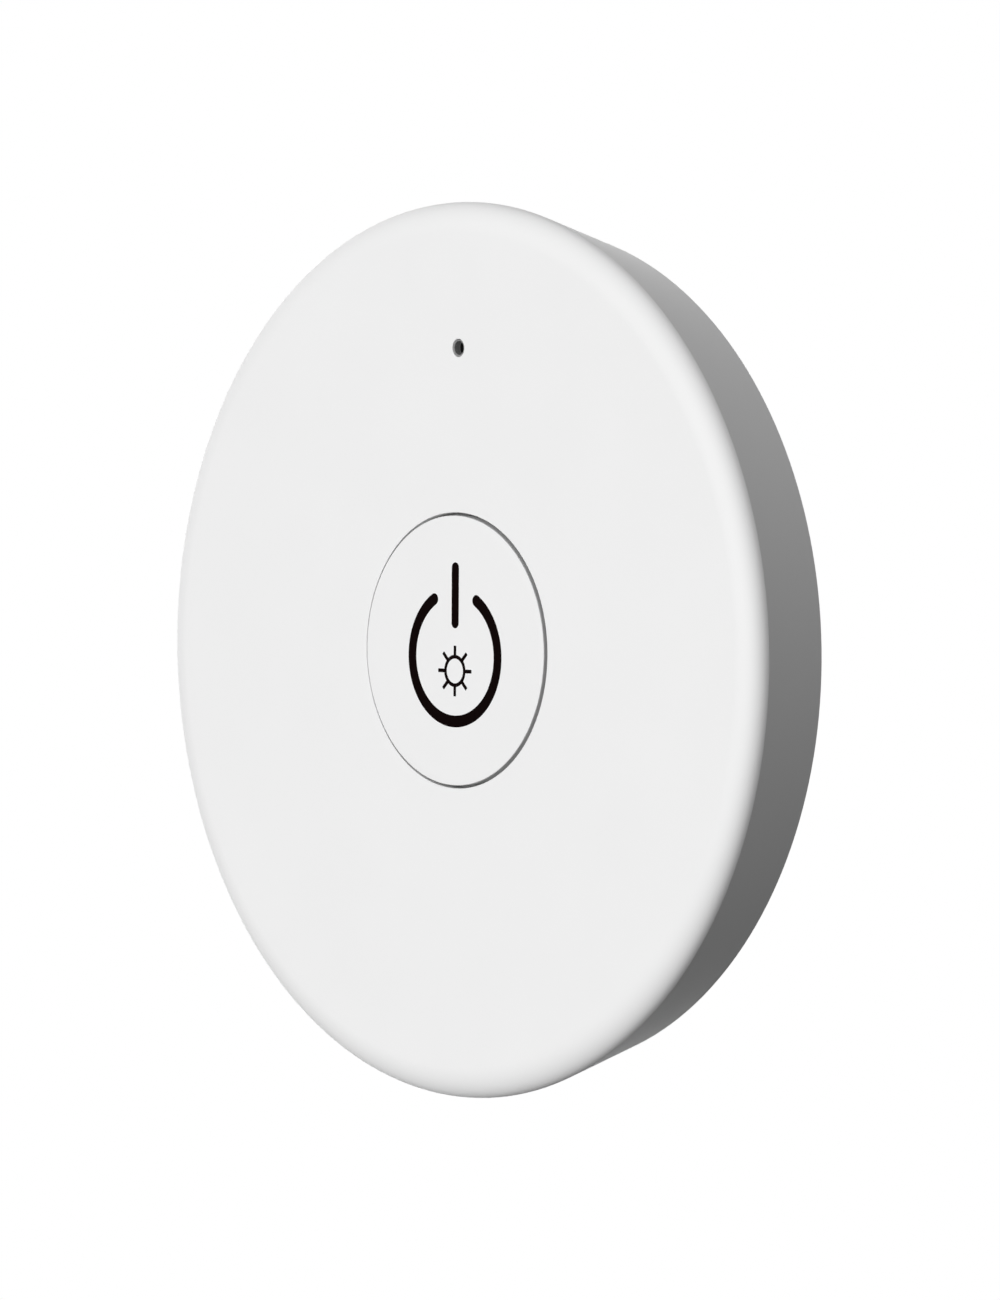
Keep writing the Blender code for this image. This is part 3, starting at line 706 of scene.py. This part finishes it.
cover_rear, collar_top = COVER_REAR / MM, COLLAR_TOP / MM
COVER_RADIUS = half_width("back_cover") / MM
COLLAR_OUTER, COLLAR_INNER = 26.1, 24.9
COVER_THICK = 1.0
FILLET = 0.3
SOFT = 0.2
LUG_OUTER = 27.9
LUG_ROOT = 0.5                      # how far a lug reaches into the collar
LUG_LOW, LUG_HIGH = 3.1, 3.8
LUG_WIDTH = 18.0                    # in degrees
floor_out = cover_rear + COVER_THICK
cover_profile = [(0.0, floor_out), (COLLAR_INNER - FILLET, floor_out)]
cover_profile += quarter(
    COLLAR_INNER - FILLET, floor_out + FILLET, FILLET, FILLET, -90.0, 0.0, QUARTER_STEPS)[1:]
cover_profile += quarter(
    COLLAR_INNER + SOFT, collar_top - SOFT, SOFT, SOFT, 180.0, 90.0, QUARTER_STEPS)
cover_profile += quarter(
    COLLAR_OUTER - SOFT, collar_top - SOFT, SOFT, SOFT, 90.0, 0.0, QUARTER_STEPS)
cover_profile += [(COLLAR_OUTER, floor_out), (COVER_RADIUS, floor_out)]
cover_profile += quarter(
    COVER_RADIUS - SOFT, cover_rear + SOFT, SOFT, SOFT, 0.0, -90.0, QUARTER_STEPS)
cover_profile += [(0.0, cover_rear)]
cover = turn_profile("cover_moulding", cover_profile, steps=SHELL_STEPS)
lug = turn_sector(
    "lug", COLLAR_OUTER - LUG_ROOT, LUG_OUTER, LUG_LOW, LUG_HIGH, TOP_ANGLE, LUG_WIDTH,
    SECTOR_STEPS)
lugs = [lug] + [copy_turned(lug, f"lug_{index}", index * THIRD) for index in (1, 2)]
cover = combine(cover, join_pieces(lugs), "UNION")

pad_low, pad_top = (value / MM for value in heights("wall_pad"))
pad_radius = half_width("wall_pad") / MM
PAD_SKIN = 0.06
PAD_FLAT = 1.0                      # the pad stays flat this far beside its edge
PAD_STEPS = 144
pad_profile = [(0.0, pad_top), (pad_radius - PAD_FLAT, pad_top)]
pad_profile += quarter(
    pad_radius - PAD_SKIN, pad_top - PAD_SKIN, PAD_SKIN, PAD_SKIN, 90.0, 0.0, QUARTER_STEPS)
pad_profile += quarter(
    pad_radius - PAD_SKIN, pad_low + PAD_SKIN, PAD_SKIN, PAD_SKIN, 0.0, -90.0, QUARTER_STEPS)
pad_profile += [(pad_radius - PAD_FLAT, pad_low), (0.0, pad_low)]
pad = turn_profile("foam_pad", pad_profile, steps=PAD_STEPS)
for piece in (lens, cover, pad):
    report(piece)

# %% [markdown]
# ## Snap dome
#
# The dome under the plunger is a thin cap of spring steel that snaps flat when the button is pressed. A
# rigid part can't do that. The new dome is a thin shell, as thick as the steel.

# %% Turn the dome
DOME_SHEET = 0.06                   # thickness of the steel
DOME_STEPS = 48
dome_low, dome_high = (value / MM for value in heights("switch_dome"))
dome_radius = half_width("switch_dome") / MM
dome_rise = dome_high - dome_low - DOME_SHEET
sphere_radius = (dome_radius ** 2 + dome_rise ** 2) / (2.0 * dome_rise)
dome_half_angle = math.degrees(math.asin(dome_radius / sphere_radius))
sphere_out = dome_high - sphere_radius
dome_profile = quarter(
    0.0, sphere_out, sphere_radius - DOME_SHEET, sphere_radius - DOME_SHEET,
    90.0, 90.0 - dome_half_angle, QUARTER_STEPS)
dome_profile += quarter(
    0.0, sphere_out, sphere_radius, sphere_radius,
    90.0 - dome_half_angle, 90.0, QUARTER_STEPS)
dome = turn_profile("snap_dome", dome_profile, steps=DOME_STEPS)
at(0.0, dome_low * MM, 0.0)
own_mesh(dome)
report(dome)

# %% [markdown]
# ## Which piece stands for which node
#
# Every new piece rides on the body of the node that it stands for, so it moves with that body's joints.
# The ink has no node of its own: it rides on the button.

# %% Ride and replace
for piece, node, body, slot in (
    (front_shell, "front_shell", "front_unit", "shell_plastic"),
    (button, "button_cap", "button", "button_plastic"),
    (lens, "indicator_lens", "front_unit", "smoked_lens"),
    (cover, "back_cover", "wall_cover", "cover_plastic"),
    (pad, "wall_pad", "wall_cover", "foam"),
    (dome, "switch_dome", "front_unit", "spring_steel"),
):
    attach(piece, body)
    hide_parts(node)
for piece in ink_pieces:
    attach(piece, "button")

# %% [markdown]
# ## Finishes
#
# A small class wraps a shader socket, so a pattern can be written as a sum. Each arithmetic sign adds one
# Math node. Colours go through Mix nodes instead, because a Math node turns a colour grey.

# %% Write shader maths as Python
class Signal:
    """An output socket that can be added, subtracted and multiplied."""

    def __init__(self, sheet, socket):
        self.sheet = sheet
        self.socket = socket

    def math(self, operation, other, swapped=False):
        pair = (other, self) if swapped else (self, other)
        node = self.sheet.node("ShaderNodeMath", {"operation": operation}, {0: pair[0], 1: pair[1]})
        return node.out("Value")

    def __add__(self, other):
        return self.math("ADD", other)

    def __radd__(self, other):
        return self.math("ADD", other, swapped=True)

    def __sub__(self, other):
        return self.math("SUBTRACT", other)

    def __rsub__(self, other):
        return self.math("SUBTRACT", other, swapped=True)

    def __mul__(self, other):
        return self.math("MULTIPLY", other)

    def __rmul__(self, other):
        return self.math("MULTIPLY", other, swapped=True)


class Node:
    """A node whose outputs are picked by name as signals."""

    def __init__(self, sheet, node):
        self.sheet = sheet
        self.node = node

    def out(self, name):
        return Signal(self.sheet, self.node.outputs[name])


class Finish:
    """A new material with one Principled shader."""

    def __init__(self, name, constants):
        self.material = bpy.data.materials.new(name)
        self.material.use_nodes = True
        self.tree = self.material.node_tree
        self.shader = self.tree.nodes["Principled BSDF"]
        for socket, value in constants.items():
            self.shader.inputs[socket].default_value = value
        self.place = self.node("ShaderNodeTexCoord", {}, {}).out("Object")

    def node(self, kind, settings, values):
        """Add a node: its settings first, then the values or links of its sockets."""
        node = self.tree.nodes.new(kind)
        for setting, value in settings.items():
            setattr(node, setting, value)
        for socket, value in values.items():
            if isinstance(value, Signal):
                self.tree.links.new(value.socket, node.inputs[socket])
            else:
                node.inputs[socket].default_value = value
        return Node(self, node)

    def noise(self, grain, detail=2.0, roughness=0.5, place=None):
        """Noise from 0 to 1 whose lumps are about one grain, in millimetres, across."""
        node = self.node(
            "ShaderNodeTexNoise", {},
            {"Vector": place or self.place, "Scale": 1.0 / (grain * MM), "Detail": detail,
             "Roughness": roughness})
        return node.out("Fac")

    def scaled_place(self, scale):
        return self.node("ShaderNodeMapping", {}, {"Vector": self.place, "Scale": scale}).out("Vector")

    def level(self, signal, low, high):
        """Bring the range from low to high onto 0 to 1, and clamp it there."""
        node = self.node(
            "ShaderNodeMapRange", {"clamp": True},
            {"Value": signal, "From Min": low, "From Max": high, "To Min": 0.0, "To Max": 1.0})
        return node.out("Result")

    def blend(self, factor, first, second):
        """A colour between two colours."""
        node = self.node(
            "ShaderNodeMix", {"data_type": "RGBA"}, {0: factor, 6: first, 7: second})
        return Signal(self, node.node.outputs[2])

    def feed(self, socket, signal):
        self.tree.links.new(signal.socket, self.shader.inputs[socket])
        return self

    def bump(self, height, depth):
        """Raise the surface by up to a depth in millimetres."""
        node = self.node(
            "ShaderNodeBump", {},
            {"Height": height, "Distance": depth * MM, "Strength": 1.0})
        return self.feed("Normal", node.out("Normal"))

    def put_on(self, *pieces):
        for piece in pieces:
            piece.data.materials.clear()
            piece.data.materials.append(self.material)

    def put_on_nodes(self, *names):
        for name in names:
            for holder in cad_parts[name].material_slots:
                holder.link = "OBJECT"
                holder.material = self.material


def grey(value, warmth=0.0):
    return (value + warmth, value, value - warmth, 1.0)


# %% [markdown]
# ## Moulded plastic
#
# The white parts are moulded in a spark-eroded tool, which leaves a very fine, even grain. The grain is
# far too small to see as shapes, but it breaks up the gloss, so the face looks evenly matt. Three scales
# make it up: the grain itself in the bump, a slower change in roughness, and a hardly visible change of
# tone where the plastic flowed. The button comes from another tool with a finer grain and is a little
# glossier, and the cover is a slightly greyer batch. The button's side in the gap is painted darker, as
# painted shade.

# %% Mould the plastics
GAP_SHADE_FADE = 0.02                    # width over which the painted shade sets in
GAP_SHADE_TONE = 0.6                    # how much of the tone the painted shade leaves


def moulded_plastic(name, tone, roughness, grain, depth, tone_change=0.008, gap_shade_from=None):
    """Moulded plastic. Beyond a given radius, in millimetres, the colour is painted darker as painted
    shade.
    """
    finish = Finish(name, {"Roughness": roughness, "IOR": 1.46})
    fine = finish.noise(grain, detail=3.0, roughness=0.6)
    slow = finish.noise(9.0, detail=2.0)
    tone_spread = finish.level(slow, 0.3, 0.7)
    colour = finish.blend(tone_spread, grey(tone - tone_change), grey(tone))
    if gap_shade_from is not None:
        from_axis = finish.node(
            "ShaderNodeVectorMath", {"operation": "LENGTH"},
            {0: finish.scaled_place((1.0, 0.0, 1.0))}).out("Value")
        # Painted shade: beyond this radius the button's side is painted darker, where shade falls in the
        # gap.
        gap_shade = finish.level(from_axis, (gap_shade_from - GAP_SHADE_FADE) * MM, gap_shade_from * MM)
        colour = finish.blend(gap_shade, colour, grey(tone * GAP_SHADE_TONE))
    finish.feed("Base Color", colour)
    rough = roughness + (fine - 0.5) * 0.12 + (slow - 0.5) * 0.06
    finish.feed("Roughness", rough)
    finish.bump(fine, depth)
    return finish


shell_finish = moulded_plastic("shell_plastic", 0.826, 0.55, 0.16, 0.004)
# The button's side in the gap gets painted shade.
button_finish = moulded_plastic(
    "button_plastic", 0.83, 0.48, 0.12, 0.003, gap_shade_from=BUTTON_RADIUS - BUTTON_EDGE / 2.0)
cover_finish = moulded_plastic("cover_plastic", 0.80, 0.6, 0.20, 0.006, 0.02)
holder_finish = moulded_plastic("holder_plastic", 0.045, 0.5, 0.18, 0.005, 0.01)
gasket_finish = moulded_plastic("gasket_plastic", 0.09, 0.6, 0.15, 0.004, 0.02)
resin_finish = moulded_plastic("black_resin", 0.022, 0.42, 0.06, 0.004, 0.005)
shell_finish.put_on(front_shell)
button_finish.put_on(button)
cover_finish.put_on(cover)
holder_finish.put_on_nodes("battery_holder")
gasket_finish.put_on_nodes("cell_gasket")
resin_finish.put_on_nodes(
    "controller_chip", "switch_base", "switch_plunger", "resistor_1", "resistor_2", "resistor_3")
print("moulded plastics: 6")

# %% [markdown]
# ## Ink, lens and foam
#
# The ink is screen printed: near black, a little warm, and smoother than the plastic, with the mesh of
# the screen as a faint, regular unevenness. The lens is smoked plastic, and the window at the bottom of
# its recess is painted near black, as painted shade.
# The foam is full of small cells. Their pits are sunk by the bump and painted darker, as painted shade.

# %% Ink, lens and foam
ink = Finish("printed_ink", {"IOR": 1.45, "Specular IOR Level": 0.06})
ink_cells = ink.node(
    "ShaderNodeTexVoronoi", {}, {"Vector": ink.place, "Scale": 1.0 / (0.12 * MM)}).out("Distance")
ink_tone = ink.level(ink_cells, 0.0, 0.8)
ink.feed(
    "Base Color", ink.blend(ink_tone, (0.0022, 0.0006, 0.0006, 1.0), (0.0045, 0.0014, 0.0014, 1.0)))
ink.feed("Roughness", 0.34 + ink_cells * 0.12)
ink.bump(ink_cells, 0.001)
ink.put_on(*ink_pieces)

smoked = Finish("smoked_lens", {"IOR": 1.49, "Specular IOR Level": 0.2})
haze = smoked.noise(0.25, detail=3.0)
flat_place = smoked.scaled_place((1.0, 0.0, 1.0))
from_axis = smoked.node(
    "ShaderNodeVectorMath", {"operation": "DISTANCE"},
    {0: flat_place, 1: (0.0, 0.0, LED_HEIGHT * MM)}).out("Value")
# Painted shade: the window at the bottom of the recess is painted near black, and the sleeve keeps the
# smoked tint.
sleeve_beside_shaded_window = smoked.level(from_axis, (WINDOW_RADIUS - 0.04) * MM, (WINDOW_RADIUS - 0.01) * MM)
tint = smoked.blend(haze, grey(0.20), grey(0.30))
smoked.feed("Base Color", smoked.blend(sleeve_beside_shaded_window, grey(0.001), tint))
smoked.feed("Roughness", 0.3 + haze * 0.1)
smoked.bump(haze, 0.001)
smoked.put_on(lens)

foam = Finish("pad_foam", {"IOR": 1.4})
cells = foam.node(
    "ShaderNodeTexVoronoi", {}, {"Vector": foam.place, "Scale": 1.0 / (0.22 * MM)}).out("Distance")
pit_depth_and_shade = foam.level(cells, 0.15, 0.6)
# Painted shade: the colour is darker in the pits, where shade falls.
foam.feed("Base Color", foam.blend(pit_depth_and_shade, grey(0.42, -0.01), grey(0.72, -0.01)))
foam.feed("Roughness", 0.8 + pit_depth_and_shade * 0.15)
foam.bump(pit_depth_and_shade, 0.05)
foam.put_on(pad)
print("ink, lens and foam done")

# %% [markdown]
# ## Board, metals and small parts
#
# These lie inside and show only when the remote is taken apart. The laminate shows its glass weave as a
# faint check under green lacquer. Drawn and turned steel has fine scratches along one way, which are
# noise stretched hard in one direction. Nickel plating is even and bright.

# %% Finish the inside
def worn_metal(name, colour, roughness, scratch):
    """Metal with fine scratches: scratch says how much longer they are than wide along each axis."""
    finish = Finish(name, {"Metallic": 1.0})
    lines = finish.noise(0.05, detail=4.0, place=finish.scaled_place(scratch))
    dull = finish.noise(1.6, detail=3.0)
    darker = tuple(value * 0.86 for value in colour[:3]) + (1.0,)
    finish.feed("Base Color", finish.blend(finish.level(dull, 0.3, 0.7), darker, colour))
    finish.feed("Roughness", roughness - 0.06 + lines * 0.14 + dull * 0.05)
    finish.bump(lines, 0.002)
    return finish


worn_metal("cell_steel", (0.70, 0.70, 0.71, 1.0), 0.26, (1.0, 0.1, 1.0)).put_on_nodes(
    "cell_can", "cell_cap")
spring_steel = worn_metal("spring_steel", (0.66, 0.67, 0.69, 1.0), 0.28, (0.1, 1.0, 1.0))
spring_steel.put_on_nodes("switch_frame", "battery_contact_positive", "battery_contact_negative")
spring_steel.put_on(dome)
worn_metal("nickel_plate", (0.62, 0.61, 0.58, 1.0), 0.3, (1.0, 1.0, 1.0)).put_on_nodes(
    "board_screw_1", "board_screw_2", "board_screw_3", "crystal")
worn_metal("copper", (0.72, 0.38, 0.18, 1.0), 0.36, (0.2, 1.0, 1.0)).put_on_nodes("printed_antenna")

board = Finish("board_laminate", {"Coat Weight": 0.4})
warp = board.node(
    "ShaderNodeTexWave", {"bands_direction": "X"},
    {"Vector": board.place, "Scale": 0.5 / MM, "Distortion": 0.4}).out("Fac")
weft = board.node(
    "ShaderNodeTexWave", {"bands_direction": "Z"},
    {"Vector": board.place, "Scale": 0.5 / MM, "Distortion": 0.4}).out("Fac")
weave = warp * weft
board.feed(
    "Base Color", board.blend(weave, (0.012, 0.11, 0.045, 1.0), (0.025, 0.19, 0.085, 1.0)))
board.feed("Roughness", 0.3 + weave * 0.12)
board.bump(weave, 0.01)
board.put_on_nodes("circuit_board")

for finish_name, dark, light, rough, names in (
    ("led_resin", (0.70, 0.66, 0.50, 1.0), (0.88, 0.86, 0.76, 1.0), 0.25, ["indicator_led"]),
    ("capacitor_ceramic", (0.34, 0.20, 0.10, 1.0), (0.50, 0.34, 0.20, 1.0), 0.45,
     ["capacitor_1", "capacitor_2", "capacitor_3", "capacitor_4"]),
):
    small = Finish(finish_name, {"IOR": 1.5})
    speckle = small.noise(0.09, detail=4.0)
    small.feed("Base Color", small.blend(small.level(speckle, 0.35, 0.65), dark, light))
    small.feed("Roughness", rough - 0.05 + speckle * 0.12)
    small.bump(speckle, 0.004)
    small.put_on_nodes(*names)

backdrop = Finish(
    "backdrop", {"Roughness": 0.9, "Emission Color": WHITE, "Emission Strength": 1.0})
backdrop.feed(
    "Base Color", backdrop.blend(backdrop.noise(400.0), grey(0.80), grey(0.84)))
backdrop.put_on(floor)
print(len(bpy.data.materials), "materials")
